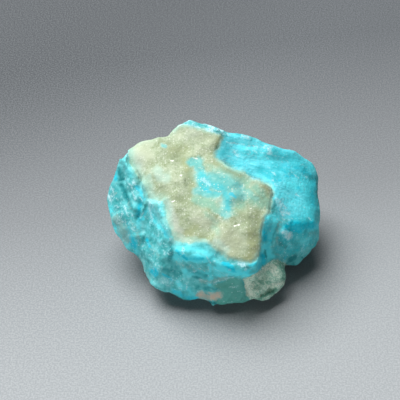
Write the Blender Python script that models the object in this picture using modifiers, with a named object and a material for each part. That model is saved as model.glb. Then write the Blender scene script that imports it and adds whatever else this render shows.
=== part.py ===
"""A nugget of raw turquoise with a crust of sandy matrix, lying on a small flat spot.

The stone grew as one piece, so it is one solid. It is blocked out as overlapping lumps,
each the convex hull of its corners, which are fused into one skin and then worn:
grooves are carved, rolls are raised, and a low roughness is laid over the whole.

The design is in millimetres. +X is the stone's right seen from the front, +Y runs to
its back and +Z is up. The origin ends at the middle of the underside of its box.
"""

import math

import bmesh
import bpy
import numpy as np
from mathutils import Vector, noise

MM = 0.001
NAME = "turquoise_nugget"

# Driving dimensions, in millimetres
SKIN_STEP = 0.5  # size of the squares that the fused skin is made of
SKIN_SMOOTHING = 3  # rounds of softening after each fusing
SKIN_GROWTH = 0.1  # makes up for what the softening takes off
ROUGHNESS_HEIGHT = 0.55
ROUGHNESS_SIZE = 4.5
ROUGHNESS_SEED = Vector((3.1, 7.7, 1.9))
FINAL_TRIANGLES = 9200
FLAT_HEIGHT = 0.65  # how much of the underside the resting flat takes off

TURQUOISE_COLOUR = (0.10, 0.62, 0.66, 1.0)
TURQUOISE_ROUGHNESS = 0.55

# Corners of the lumps, by where they are on the stone
LUMPS = {
    "heart": (
        (-17, 8.5, 18.5), (-14, 3, 16.5), (-10.5, -3, 14.5), (-8, -12.5, 13.5),
        (-6.5, -13.2, 12), (-2, -14.3, 12.5), (3, -15.5, 11.5), (7, -16, 11),
        (9.5, -14.2, 11.5), (10.5, -11, 13), (11, -4, 15.5), (9.5, 1, 18), (3, 6, 20.5),
        (-3, 13, 23.5), (-12, 11.5, 20),
        (-12.9, -14.4, 5), (-10, -15.1, 4), (-5.5, -16, 2.7), (1, -17, 2.3), (7, -15.3, 1.9),
        (6, -6.5, -0.3), (7, 2, -0.3), (0.5, 6, -0.3), (-5.5, 1.5, -0.2), (-3, -6, -0.2),
        (11, -9, 1.4), (11, 5, 1.6), (0, 12, 2), (-9, 8, 2.4), (-14.5, -10, 6), (-14.5, -4, 4.5),
        (-14, 14, 11), (-5, 17.5, 11), (7, 17.5, 10), (12, 13, 6),
    ),
    "right block": (
        (0, 7, 20), (2, 9, 21.9), (5.5, 9, 21.9), (-1, 13, 25), (6, 12.8, 23.2), (12.3, 11.3, 20.4),
        (18.3, 13, 18.5), (21.9, 12.9, 15.5), (23.3, 10.8, 13.6), (22.2, 4.4, 12.9),
        (21.1, -1.8, 12), (18, -4.7, 13.7), (13, -4.3, 14.8), (9, 0, 15),
        (22.7, -2.8, 7), (21.5, -5.1, 5), (17.7, -7, 3), (14.5, -5.5, 1.5), (14, 7, 1),
        (19, 8, 3), (22, 12, 7), (17, 16.5, 9), (7, 17.5, 9), (8, 13, 1.5),
    ),
    "left bulge": (
        (-23, 3.2, 12.8), (-21.6, 5.2, 15.3), (-20.7, 6.7, 17.1), (-18.7, 8.4, 19),
        (-18.8, 9.6, 20.4), (-20.6, -3.6, 11), (-18.1, -6.4, 9), (-15.3, -7, 12),
        (-15.5, 3, 15), (-15.3, -9, 7.5), (-18, 13.5, 13), (-19, 7, 7), (-15, -3, 5),
        (-10, 12, 6),
    ),
    "crust": (
        (-18.2, 8.8, 21.8), (-15.5, 4, 20), (-12, -1.5, 17.8), (-8, -11.3, 15.4),
        (-4.5, -12.4, 15), (0, -13.3, 14.8), (4, -14.8, 14.2), (7.5, -15.5, 13.8),
        (9.3, -14.3, 14), (10, -10, 15.8), (10.7, -6.5, 17.5), (12.6, -2, 18.6),
        (10.8, 0.7, 20.5), (5.3, 3, 22.3), (0.5, 6.5, 23.3), (-10, 11.2, 25.2),
        (-13.5, 11.4, 24.3), (-15.8, 11.2, 23), (-7, -4, 20.3), (2, -6, 19.6), (6, -10, 17.6),
        (-18, 8.8, 18.5), (-15.2, 4, 17), (-11.8, -1.5, 14.8), (-8, -11.2, 12.5),
        (-4.5, -12.3, 12.5), (4, -14.6, 11.5), (9, -14, 11), (10.3, -6.5, 14.5),
        (12.3, -2, 15.6), (5, 3, 19), (0.5, 6.3, 20), (-15.5, 11.5, 19),
    ),
    "crust ridge": (
        (-9.5, 11.5, 25), (-7, 13, 26.1), (-4.5, 13.5, 26.5), (-1, 13.1, 26.3),
        (1.8, 11.5, 25.6), (2.3, 8.7, 25.2), (0.8, 7, 23.8), (-5, 6, 23.5),
        (-4, 14.5, 22), (2.2, 12, 20), (1.5, 9, 20), (-9, 13, 21),
    ),
    "quartz knob": (
        (12.3, -14.8, 2.2), (9.7, -16.1, 2.1), (7.5, -15.4, 2.6), (15.3, -12.6, 3.3),
        (15, -8.5, 4), (14.5, -8, 8), (11, -9.5, 9.5), (7, -12, 7.5), (9, -6, 3),
        (15, -11.5, 6), (9.8, -14, 6),
    ),
    "neck": (
        (9, -3, 16.5), (12.4, -5.4, 16.6), (13.6, -7.2, 14), (12, -9.6, 11.5), (9, -10, 12),
        (9, 2, 14), (16.5, -6.2, 11), (14.5, -8, 8.5), (17, -6.6, 5.7), (15.3, -8.2, 4.8), (10, -4, 4),
    ),
    "crust's right shoulder": (
        (11.5, -2.6, 18), (11.3, 1.4, 19.6), (13.6, -3.4, 16), (14.2, -0.2, 16.8), (11, 3, 18.5),
        (10, 0, 14), (12.6, -4.6, 14.5),
    ),
}

# Worn lines over the fused skin: the line's points, half width, and depth
GROOVES = {
    "cleft beside the left bulge": (
        [(-18.6, 6.2, 17.6), (-17, 3.5, 15.5), (-15.5, -0.5, 12.8), (-14.2, -4.5, 9)], 1.2, 1.4,
    ),
    "notch at the ridge's foot": ([(1.5, 8, 22.5), (2.6, 9.2, 22.4), (3.4, 10.6, 23)], 0.7, 0.6),
    "crust's foot, left": (
        [(-15.6, 3.8, 17.8), (-12.4, -1.8, 16), (-10.3, -6.5, 14.9), (-8.4, -11.6, 14)], 0.8, 0.8,
    ),
    "crust's foot, front": (
        [(-8.4, -11.6, 14), (-4.5, -12.9, 13.9), (0, -13.8, 13.7), (4, -15.2, 13)], 0.7, 0.6,
    ),
    "crust's foot, right": (
        [(11.6, -5, 15.5), (10.9, -7, 14), (10.8, -10, 10)], 0.9, 0.5,
    ),
    "crust's foot, back": ([(3, 4.6, 21.3), (7, 2.6, 19.6), (11.2, 0.9, 18.6)], 0.8, 0.7),
    "valley above the knob": ([(13.8, -7.6, 8.5), (15.6, -7.6, 5.5), (16, -7.6, 3)], 1.2, 0.5),
    "front fold": ([(-8.5, -13, 13), (-7.5, -14, 8), (-8.5, -14, 4)], 1.2, 1.0),
    "under the front roll": ([(-3, -14.5, 9.5), (3, -15.5, 8), (7, -15, 7.5)], 1.1, 0.8),
    "chip at the front": ([(-2.2, -16.6, 2), (-2.6, -16.2, 4.2)], 1.3, 1.0),
    "nick at the left": ([(-22.1, -0.8, 12), (-21.2, -0.8, 9)], 1.0, 0.6),
}
# The same, with a height
ROLLS = {
    "front roll": (
        [(-7, -12.8, 13.7), (-2.5, -13.8, 13), (3, -15, 12), (8, -15.6, 11.9)], 1.3, 1.1,
    ),
    "back rim": (
        [(-1, 13, 24.6), (6, 12.6, 23), (12, 11.5, 20.8), (18, 12.8, 18.4)], 1.1, 0.4,
    ),
    "right face's lower edge": ([(13, -4.3, 14.6), (18, -4.6, 13.4), (21, -1.8, 12)], 1.2, 0.3),
    "left edge": ([(-13.4, 2, 17), (-13.6, -3, 12.5), (-12.6, -8, 9)], 1.2, 0.6),
}


def clear_scene():
    for obj in list(bpy.data.objects):
        bpy.data.objects.remove(obj, do_unlink=True)


def blocked_out():
    """All the lumps in one mesh, as overlapping convex hulls."""
    shape = bmesh.new()
    for corners in LUMPS.values():
        points = [shape.verts.new(Vector(c) * MM) for c in corners]
        hull = bmesh.ops.convex_hull(shape, input=points)
        bmesh.ops.delete(shape, geom=hull["geom_interior"], context="VERTS")
    bmesh.ops.recalc_face_normals(shape, faces=shape.faces)
    mesh = bpy.data.meshes.new(NAME)
    shape.to_mesh(mesh)
    shape.free()
    return mesh


def fused(mesh):
    """The shape as one closed skin of even squares, with softened edges."""
    stone = bpy.data.objects.new(NAME, mesh)
    bpy.context.scene.collection.objects.link(stone)
    remesh = stone.modifiers.new("fuse", "REMESH")
    remesh.mode = "VOXEL"
    remesh.voxel_size = SKIN_STEP * MM
    soften = stone.modifiers.new("soften", "SMOOTH")
    soften.factor = 0.5
    soften.iterations = SKIN_SMOOTHING
    mesh = outer_skin(settled(stone))
    write_points(mesh, read_points(mesh) + SKIN_GROWTH * read_normals(mesh))
    return mesh


def settled(stone):
    """Bakes an object's modifiers into a new mesh and removes the object."""
    bpy.context.view_layer.update()
    graph = bpy.context.evaluated_depsgraph_get()
    mesh = bpy.data.meshes.new_from_object(stone.evaluated_get(graph))
    mesh.name = NAME
    bpy.data.objects.remove(stone, do_unlink=True)
    return mesh


def joined_to(vert):
    """Every vertex that can be reached from this one along edges."""
    found = {vert}
    border = [vert]
    while border:
        for edge in border.pop().link_edges:
            for other in set(edge.verts) - found:
                found.add(other)
                border.append(other)
    return found


def outer_skin(mesh):
    """Drops the specks that the fusing leaves round corners buried inside other lumps."""
    shape = bmesh.new()
    shape.from_mesh(mesh)
    outer = joined_to(max(shape.verts, key=lambda v: v.co.z))
    buried = [v for v in shape.verts if v not in outer]
    bmesh.ops.delete(shape, geom=buried, context="VERTS")
    shape.to_mesh(mesh)
    shape.free()
    return mesh


def read_points(mesh):
    points = np.empty(len(mesh.vertices) * 3, np.float32)
    mesh.vertices.foreach_get("co", points)
    return points.reshape(-1, 3).astype(float) / MM


def read_normals(mesh):
    normals = np.empty(len(mesh.vertices) * 3, np.float32)
    mesh.vertices.foreach_get("normal", normals)
    return normals.reshape(-1, 3).astype(float)


def write_points(mesh, points):
    mesh.vertices.foreach_set("co", (points * MM).astype(np.float32).ravel())
    mesh.update()


def distance_to_line(points, line):
    """Each point's distance to a line of straight runs."""
    line = np.array(line, float)
    nearest = np.full(len(points), np.inf)
    for start, end in zip(line[:-1], line[1:]):
        run = end - start
        along = np.clip((points - start) @ run / (run @ run), 0, 1)
        away = np.linalg.norm(points - start - along[:, None] * run, axis=1)
        nearest = np.minimum(nearest, away)
    return nearest


def wear(mesh):
    """Carves the grooves and raises the rolls, along the skin's own normals."""
    for lines, sign in ((GROOVES, -1), (ROLLS, 1)):
        for line, half_width, height in lines.values():
            points, normals = read_points(mesh), read_normals(mesh)
            share = np.exp(-((distance_to_line(points, line) / half_width) ** 2))
            write_points(mesh, points + normals * (sign * height * share)[:, None])


def roughen(mesh):
    """Lays low lumps over the skin, with ridges between them."""
    points, normals = read_points(mesh), read_normals(mesh)
    height = np.array([
        noise.fractal(Vector(p) / ROUGHNESS_SIZE + ROUGHNESS_SEED, 0.6, 2.1, 3)
        for p in points
    ])
    write_points(mesh, points + normals * (ROUGHNESS_HEIGHT * height)[:, None])


def thinned(mesh):
    """The skin with no more triangles than the shape needs."""
    stone = bpy.data.objects.new(NAME, mesh)
    bpy.context.scene.collection.objects.link(stone)
    thin = stone.modifiers.new("thin", "DECIMATE")
    thin.ratio = FINAL_TRIANGLES / (2 * len(mesh.polygons))
    thin.use_collapse_triangulate = True
    return settled(stone)


def grind_flat(mesh):
    """Presses the underside onto a flat and stands the stone on it at the origin."""
    low = min(v.co.z for v in mesh.vertices) + FLAT_HEIGHT * MM
    shape = bmesh.new()
    shape.from_mesh(mesh)
    bmesh.ops.bisect_plane(
        shape,
        geom=shape.verts[:] + shape.edges[:] + shape.faces[:],
        plane_co=(0, 0, low),
        plane_no=(0, 0, 1),
    )
    for vert in shape.verts:
        vert.co.z = max(vert.co.z, low)
    flat = [f for f in shape.faces if max(v.co.z for v in f.verts) < low + 0.001 * MM]
    region = bmesh.ops.dissolve_faces(shape, faces=flat, use_verts=False)
    bmesh.ops.triangulate(shape, faces=region["region"])
    corners = np.array([v.co for v in shape.verts])
    middle = (corners.min(0) + corners.max(0)) / 2
    bmesh.ops.translate(shape, verts=shape.verts, vec=(-middle[0], -middle[1], -low))
    bmesh.ops.recalc_face_normals(shape, faces=shape.faces)
    shape.to_mesh(mesh)
    shape.free()


def turquoise():
    material = bpy.data.materials.new("raw_turquoise")
    material.use_nodes = True
    shader = material.node_tree.nodes["Principled BSDF"]
    shader.inputs["Base Color"].default_value = TURQUOISE_COLOUR
    shader.inputs["Roughness"].default_value = TURQUOISE_ROUGHNESS
    shader.inputs["Metallic"].default_value = 0.0
    return material


def main():
    clear_scene()
    mesh = fused(blocked_out())
    wear(mesh)
    roughen(mesh)
    mesh = thinned(fused(mesh))
    grind_flat(mesh)
    mesh.shade_smooth()
    mesh.set_sharp_from_angle(angle=math.radians(35))
    mesh.materials.append(turquoise())
    collection = bpy.data.collections.new("raw_turquoise")
    bpy.context.scene.collection.children.link(collection)
    collection.objects.link(bpy.data.objects.new(NAME, mesh))


main()
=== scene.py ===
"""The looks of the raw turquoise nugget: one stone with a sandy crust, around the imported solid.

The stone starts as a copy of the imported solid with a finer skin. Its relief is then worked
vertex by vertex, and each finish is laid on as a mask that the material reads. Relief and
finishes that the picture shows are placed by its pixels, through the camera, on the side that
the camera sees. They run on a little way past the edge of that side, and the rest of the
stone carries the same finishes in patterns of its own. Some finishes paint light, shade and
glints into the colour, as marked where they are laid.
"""

import math

import bmesh
import bpy
import numpy as np
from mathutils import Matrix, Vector, bvhtree, kdtree, noise


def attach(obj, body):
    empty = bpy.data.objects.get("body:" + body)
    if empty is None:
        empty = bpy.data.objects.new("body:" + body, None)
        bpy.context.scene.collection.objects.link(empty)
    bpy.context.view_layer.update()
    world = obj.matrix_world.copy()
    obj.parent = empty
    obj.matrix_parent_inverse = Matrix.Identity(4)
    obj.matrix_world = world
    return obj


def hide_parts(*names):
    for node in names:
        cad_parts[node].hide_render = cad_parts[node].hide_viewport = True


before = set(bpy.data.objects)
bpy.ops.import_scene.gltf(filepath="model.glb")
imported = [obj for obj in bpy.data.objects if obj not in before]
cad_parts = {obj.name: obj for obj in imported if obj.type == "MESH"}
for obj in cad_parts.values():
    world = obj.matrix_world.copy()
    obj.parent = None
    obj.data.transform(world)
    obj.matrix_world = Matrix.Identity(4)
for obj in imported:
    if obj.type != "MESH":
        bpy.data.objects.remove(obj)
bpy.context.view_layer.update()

MM = 0.001
NODE = "turquoise_nugget"

# The camera, in millimetres
PICTURE = 400  # pixels along each side
CAMERA_TILT = math.radians(42)
CAMERA_TARGET = np.array((-2.922, 1.499, 14.627))
CAMERA_LENS = 100
CAMERA_SENSOR = 36
PIXEL = 45 / 215  # how much of the stone one pixel covers
CAMERA_DISTANCE = PICTURE * PIXEL * CAMERA_LENS / CAMERA_SENSOR

# The room: places and sides in metres, and power in watts
LIGHTS = [
    ("window", (-0.20, 0.24, 0.58), 0.55, 8.8),
    ("left fill", (-0.70, -0.84, 0.12), 0.22, 3.15),
    ("right fill", (0.63, -0.90, 0.12), 0.22, 2.25),
]
LIGHT_AIM = (0, 0, 0.01)
ROOM_COLOUR = (0.95, 0.98, 1)
ROOM_STRENGTH = 0.045
FLOOR_REACH = 1.5

# The stone's skin, in millimetres
FIRST_STEP = 0.3
FINE_STEP = 0.253
FLAT_GUARD = 0.6  # relief fades out over this height above the resting flat

# Rounds of smoothing
FIRST_ROUNDS = 8
FINE_ROUNDS = 1
EVENED_ROUNDS = 60
FOOT_ROUNDS = 80
EVENED_FROM = 0.3  # how strong a stroke is where the smoothing under it starts

# Where noise_vector starts, which tilts the chips. Without it they would differ at each run.
CHIP_SEED = 1

# How what the picture shows is carried over to the stone
GRAZING = 0.05  # the least cosine at which a vertex still faces the camera
RAY_LIFT = 0.05  # how far off the skin a line of sight starts, in millimetres
RAY_LEAD = 0.1  # and how far along itself
RUN_ON = 4  # how far finishes run on past the side that the camera sees, in millimetres
NARROWING = 3  # pixels that an outline loses for each millimetre past that side
STROKE_FALL = 0.7

# How edges wander: the size of the bends in millimetres and their reach in pixels
BEND_SIZE = 1.6
BEND_REACH = 1.3
JAG_SIZE = 0.6
JAG_REACH_IN_RELIEF = 0.4
JAG_REACH_IN_COLOUR = 1.0

# Columns and rows of the picture where something starts to change
CRUST_STANDS_FROM = 185  # the crust is flush with the stone left of here
LEFT_OF_CRUST = 200
ROLL_TOP = 235

# What the picture shows, by its pixels. Outlines are closed.
CRUST_OUTLINE = [
    (125, 146), (128.5, 151), (129, 161), (131, 166), (134, 170), (138, 176), (142, 183), (146, 189),
    (148, 198), (156, 200), (163, 201), (165.5, 207), (167, 214), (168, 221), (170, 228), (172, 234),
    (175, 240), (181, 242), (190, 244.5), (196, 242), (207, 242), (212, 247), (217, 251), (223, 254),
    (228, 258.5), (236, 260), (243, 262.5), (250, 263), (255, 260.5), (258.5, 255), (260.5, 249),
    (261, 240), (261.5, 231), (263, 223), (266, 216), (269.5, 212.5), (270.5, 207), (271, 201),
    (273.5, 195), (272.5, 189), (268, 184), (261, 180.5), (254, 179), (249, 176), (244, 172),
    (236, 170.5), (230, 167), (225, 163.5), (219, 159.5), (215.5, 156), (215.5, 153), (219, 148),
    (222, 141), (224, 137), (219, 133.5), (210, 131), (203, 128.5), (195, 127), (185, 125.5), (179, 124),
    (170, 128), (158, 130), (142, 134), (128, 142),
]
KNOB_OUTLINE = [
    (243, 279), (249, 277), (255, 273), (261, 269), (267, 264), (272, 260), (280, 260), (287, 264),
    (290, 272), (288, 280), (288, 287), (280, 293), (270, 299), (261, 304), (252, 301), (246, 296),
    (245, 288),
]
SLATE_OUTLINE = [
    (213, 285), (222, 282), (232, 277), (241, 277), (244, 284), (245, 292), (250, 300), (247, 306),
    (220, 306), (213, 300), (222, 297), (220, 290),
]
RIGHT_FACE = [
    (216, 156), (222, 141), (230, 131), (262, 141), (300, 152), (312, 163), (317, 175), (317, 218),
    (300, 219), (285, 218), (277, 215), (276, 195), (270, 184), (256, 178), (240, 170),
]

# Strokes: half width in pixels, strength, then the pixels the stroke runs through
FROST_AND_PAINTED_LIGHT = [
    # The first two strokes below are partly painted light: frosting laid thicker on the right face beside
    # the crust and on the left stripe, where the relief is in shade
    (5, 0.8, (279, 201), (284, 213)), (3, 0.8, (150, 202), (152, 224)), (5, 0.5, (246, 148), (272, 154)),
    (1.5, 0.6, (127, 152), (127, 161)), (1.8, 1, (133.5, 181.5), (135.5, 183)),
    (1.2, 0.6, (112, 176), (113, 178)), (1.4, 0.6, (126, 181), (129, 183)),
    (1, 0.5, (117, 169), (118, 170)), (2.2, 0.8, (184, 121.5), (196, 121), (205, 124), (215, 127)),
    (1, 0.9, (181, 125), (190, 125.5), (200, 127)), (1.5, 0.9, (204, 129.5), (212, 131), (219, 134)),
    (1.2, 0.8, (218, 129), (223, 130.5)), (1, 0.8, (228, 135), (230, 137)),
    (2.2, 0.9, (234, 152), (238, 156)), (1, 0.7, (223, 160), (227, 162)),
    (3, 1, (203.5, 180), (209, 184)), (2, 0.5, (210, 184), (214, 187)),
    (2.2, 0.9, (243, 136), (249, 139)), (0.9, 0.8, (227, 142.5), (245, 145), (262, 147), (275, 148)),
    (1.5, 0.8, (266, 145), (274, 147.5)), (1, 0.7, (248, 154), (256, 156)),
    (1.2, 0.6, (263, 153), (271, 154)), (1.4, 0.7, (266, 157), (268.5, 159)),
    (1, 0.7, (275, 155), (284, 158)), (0.9, 0.9, (281, 162), (282, 162.5)),
    (1, 0.6, (297, 156), (299, 158)), (1.2, 0.7, (301, 153), (304, 157)),
    (1.3, 0.5, (303, 164), (310, 168)), (1.4, 0.7, (271, 171), (275, 175)),
    (1.6, 0.5, (273, 178), (275, 186)), (1.2, 0.8, (252, 177), (258, 179.5)),
    (1.4, 0.6, (291, 171), (299, 178)), (0.9, 0.8, (306, 176), (307, 177)),
    (0.9, 0.8, (303, 180), (304, 180)), (0.8, 0.6, (303, 186), (306, 191)),
    (1.1, 1, (296, 195), (299, 196)), (1.6, 0.4, (280, 189), (281, 197)),
    (1.5, 0.9, (283, 204), (285, 208)), (2, 0.9, (282, 212), (289, 214)),
    (1.2, 0.5, (280, 218), (290, 218)), (1.4, 0.6, (284, 220), (288, 223)),
    (1.4, 0.5, (292, 219), (307, 217)), (0.9, 0.7, (308, 218), (311, 221)),
    (1.5, 0.4, (304, 208), (309, 214)), (3.6, 1, (284, 232), (289, 237)),
    (1.4, 0.7, (291, 232), (292, 235)), (1, 0.7, (283, 236), (290, 239)),
    (0.9, 0.7, (270, 231), (271.5, 228.5)), (1.1, 0.5, (277, 218), (281, 222)),
    (1.2, 0.5, (266, 220), (268, 223)), (1, 0.4, (264, 226), (266, 228)),
    (0.9, 0.5, (306, 251), (307, 252)), (1, 0.5, (303, 256), (309, 257)),
    (1, 0.5, (314, 232), (315, 235)), (1.4, 0.5, (284, 251), (286, 253)),
    (1.4, 0.9, (110, 186), (111, 190)), (1.5, 0.9, (108, 195), (109.5, 200)),
    (1.4, 0.7, (116, 199), (118, 201)), (1.3, 0.7, (120, 203), (121, 207)),
    (1.8, 0.8, (123, 206), (126, 211), (128, 216)), (2.4, 0.6, (130, 213), (134, 218)),
    (1.3, 0.8, (117, 220), (118, 223)), (1, 0.8, (121, 222), (123, 223)),
    (1, 0.8, (129, 183), (131, 185), (132, 189)), (1.6, 1, (133, 191), (134, 195), (135.5, 199)),
    (1.3, 1, (140.5, 198), (142, 200)), (1.2, 0.9, (142.5, 213), (141, 218)),
    (1, 0.8, (145, 217), (147, 219)), (0.9, 0.9, (152, 217), (153.5, 219)),
    (2, 0.8, (159.5, 202), (161, 211)), (1.8, 0.7, (161, 225), (168, 230)),
    (1.2, 0.9, (169, 238), (171, 239)), (1.2, 0.8, (137, 238), (138, 241)),
    (1.5, 0.6, (131, 228), (136, 230)), (1.2, 0.5, (125, 233), (128, 238)),
    (1.5, 0.5, (142, 243), (143, 246)), (1.5, 0.7, (164, 243), (166, 248)),
    (1.4, 0.5, (164, 251), (167, 253)), (1, 0.5, (146, 261), (147, 265)),
    (0.9, 1, (152, 268.5), (153, 269.5)), (1.2, 0.5, (161, 266), (163, 267)),
    (2, 0.4, (163, 279), (167, 283)), (1.4, 0.6, (186, 283), (188, 287), (185, 290)),
    (0.8, 0.5, (172, 276), (173, 277)), (1.5, 1, (183.5, 248), (182, 253.5)),
    (1.2, 1, (207, 257), (208.5, 260), (210, 263)), (1, 0.8, (213, 261), (216, 263)),
    (0.9, 0.9, (229, 270), (231, 271)), (2.4, 0.8, (239, 264), (247, 266), (245, 269)),
    (1, 0.7, (197, 291), (199, 292)), (1, 0.5, (213, 283), (216, 282.5)),
    (1.2, 0.7, (162, 282), (168, 286)), (1.3, 0.7, (177, 286), (182, 291)),
    (1.6, 0.7, (200, 280), (212, 283), (222, 280), (234, 277)),
    (1.2, 0.6, (208, 266), (210, 274), (212, 282)), (1.4, 0.5, (215, 268), (222, 273), (232, 277)),
    (1.6, 0.6, (216, 258), (226, 262), (236, 264)), (1.5, 0.6, (190, 272), (198, 270)),
    (1.2, 0.6, (228, 288), (238, 286)), (2, 0.3, (184, 246), (196, 246), (206, 249)),
    (1, 0.9, (183, 247), (185, 250)),
]
DEEP = [
    (3, 0.6, (174, 291), (186, 297), (197, 300)), (2, 0.4, (240, 273), (254, 272), (262, 268)),
    (2.5, 0.7, (114, 172), (116, 178)), (2.2, 0.8, (137, 187), (141, 192), (143.5, 199)),
    (2.5, 0.6, (140.5, 203), (138.5, 209), (138.5, 214), (139.5, 219)),
    (3, 0.8, (126, 236), (131, 240), (134, 246)), (3, 1, (153, 271), (156, 274)),
    (1.5, 0.8, (147, 240), (149, 246)), (2, 0.7, (164, 231), (167, 236)),
    (1.5, 0.7, (163, 274), (172, 279)), (1, 0.8, (181, 295), (183, 297)),
    (1.3, 0.7, (177, 251), (179, 254)), (1.5, 0.9, (183, 256), (187, 259)),
    (2, 0.5, (190, 259), (203, 259)), (3, 1, (225, 263), (229, 266), (232, 269)),
    (2.3, 0.3, (237, 271), (245, 273), (252, 270)), (3.5, 0.3, (268, 222), (270, 234), (267, 244)),
    (2, 0.7, (250, 265), (255, 263)), (2, 0.8, (262, 254), (264, 261), (259, 267)),
    (2.2, 0.9, (264, 231), (264.5, 240)), (2, 0.6, (265, 242), (270, 240)),
    (4, 0.9, (287, 226), (295, 225), (302, 226), (313, 225)), (2, 1, (292, 230), (300, 231)),
    (2, 0.5, (298, 188), (302, 192)), (1.5, 0.6, (282, 170), (285, 172)),
    (2, 0.4, (282, 164), (290, 167)), (3, 0.5, (296, 168), (310, 174)), (1, 0.5, (276, 180), (284, 180)),
    (1.5, 0.5, (286, 176), (294, 176)), (2, 0.8, (231, 194), (236, 197)),
    (1.5, 0.4, (236, 183), (240, 187)), (1.5, 0.5, (205, 190), (211, 192)),
    (1, 0.7, (284, 258), (287, 256)), (2.5, 0.4, (313, 180), (313, 205)),
]
# Paler turquoise, partly painted light: many strokes lighten places that the relief leaves in shade, on
# the front, under the roll, at the left stripe and lower left, at the neck and on the right face beside
# the crust
BRIGHT_AND_PAINTED_LIGHT = [
    (5, 0.9, (218, 267), (232, 272), (246, 274)), (5, 0.6, (279, 198), (282, 214)),
    (5, 0.5, (150, 204), (153, 222)), (3, 0.4, (137, 214), (139, 228)), (7, 0.7, (246, 149), (272, 156)),
    (4, 0.7, (284, 232), (289, 237)), (7, 0.6, (114, 224), (124, 238), (136, 250)),
    (6, 0.7, (288, 184), (300, 188)), (5, 0.8, (254, 264), (262, 258)),
    (4, 0.9, (174, 256), (186, 258), (196, 259), (210, 259)),
    (4, 0.8, (124, 152), (127, 162), (131, 174)), (6, 0.9, (203, 177), (208, 187), (221, 189)),
    (5, 0.8, (284, 226), (300, 227), (316, 226)), (4.5, 0.9, (262, 232), (268, 221), (274, 217)),
    (4.5, 0.8, (267, 244), (272, 232), (278, 222)), (5, 1, (264, 248), (269, 256)),
    (6, 0.4, (284, 248), (300, 241), (312, 236)), (5, 0.6, (186, 272), (204, 274), (222, 275)),
    (4.5, 0.6, (180, 248), (190, 249), (202, 251), (212, 256)),
    (3, 0.5, (214, 261), (226, 266), (240, 270)), (4, 0.9, (266, 217), (272, 221), (276, 218)),
    (2.5, 0.9, (160, 200), (161, 208), (163, 214)), (3.5, 0.8, (160, 226), (166, 231), (168, 237)),
    (1.5, 0.9, (145, 212), (143, 219)), (2.5, 0.7, (151, 212), (155, 222)),
    (9, 0.5, (282, 196), (296, 205), (306, 212)), (3, 0.8, (202, 174), (201, 186)),
    (3.5, 0.8, (203, 188), (214, 190)), (3.5, 0.8, (224, 194), (228, 199), (228, 208)),
    (4, 0.3, (146, 226), (152, 234), (160, 240)), (4, 0.5, (112, 170), (116, 174)),
    (4, 0.6, (108, 207), (113, 213)), (2.5, 0.7, (209, 265), (211, 275), (210, 284)),
    (5, 0.5, (178, 284), (190, 292), (196, 297)),
]
DULL = [
    (6, 0.8, (262, 170), (276, 178)), (5, 0.6, (124, 224), (128, 234)), (8, 0.4, (292, 180), (308, 188)),
    (8, 0.8, (310, 184), (312, 216)), (8, 0.9, (296, 222), (312, 224)), (8, 0.9, (284, 236), (302, 232)),
    (8, 0.7, (270, 152), (288, 158), (306, 168)), (5, 0.7, (274, 166), (290, 172), (310, 184)),
    (3, 0.6, (222, 152), (230, 148)), (2, 0.6, (244, 150), (262, 154)), (4, 0.5, (286, 176), (300, 190)),
    (5, 0.6, (314, 176), (315, 206)), (8, 0.6, (280, 252), (300, 248), (312, 240)),
]
BLOOM_AND_PAINTED_LIGHT = [
    # The second stroke below, across the right face, is painted light where that face turns away from the
    # light
    (4, 0.8, (226, 158), (236, 165)), (8, 0.5, (282, 184), (298, 204)), (8, 0.8, (256, 147), (278, 152)),
    (7, 0.4, (244, 165), (266, 174)), (9, 0.7, (110, 192), (118, 206), (124, 220)),
    (6, 0.6, (139, 238), (145, 256)), (5, 0.8, (165, 245), (168, 257)), (7, 0.6, (178, 281), (187, 288)),
    (10, 0.5, (288, 243), (304, 250)), (6, 0.7, (283, 210), (287, 219)), (5, 0.6, (272, 168), (274, 184)),
    (10, 0.5, (276, 156), (298, 176)), (5, 1, (184, 121), (210, 127), (226, 133)),
    (5, 0.7, (238, 136), (252, 141)), (5, 0.6, (234, 150), (240, 158)), (5, 0.6, (126, 180), (131, 186)),
    (5, 0.7, (196, 266), (204, 266)), (4, 0.8, (240, 265), (248, 267)), (6, 0.5, (155, 262), (162, 272)),
    (3, 0.9, (284, 233), (289, 236)), (6, 0.5, (148, 204), (154, 222), (160, 236)),
    (6, 0.5, (124, 240), (134, 252)),
]
VEIN = [
    (5, 1, (192, 162), (198, 162)), (4.5, 1, (198, 165), (202, 174)), (7, 1, (202, 177), (204, 187)),
    (9.5, 1, (212, 180), (223, 183), (232, 187)), (6.5, 1, (236, 186), (236, 194)),
    (6.5, 1, (226, 194), (228, 202), (226, 212)), (3.5, 0.8, (222, 214), (229, 214)),
    (2, 0.9, (162.5, 145), (164.5, 145.5)), (4, 0.5, (246, 192), (256, 198)),
    (4.5, 0.9, (197, 191), (206, 194), (218, 195)), (4.5, 0.8, (240, 186), (243, 197)),
]
PEACH_STROKES = [(3.5, 0.7, (200, 294), (208, 297)), (3.5, 0.9, (212, 297), (218, 295))]
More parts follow.
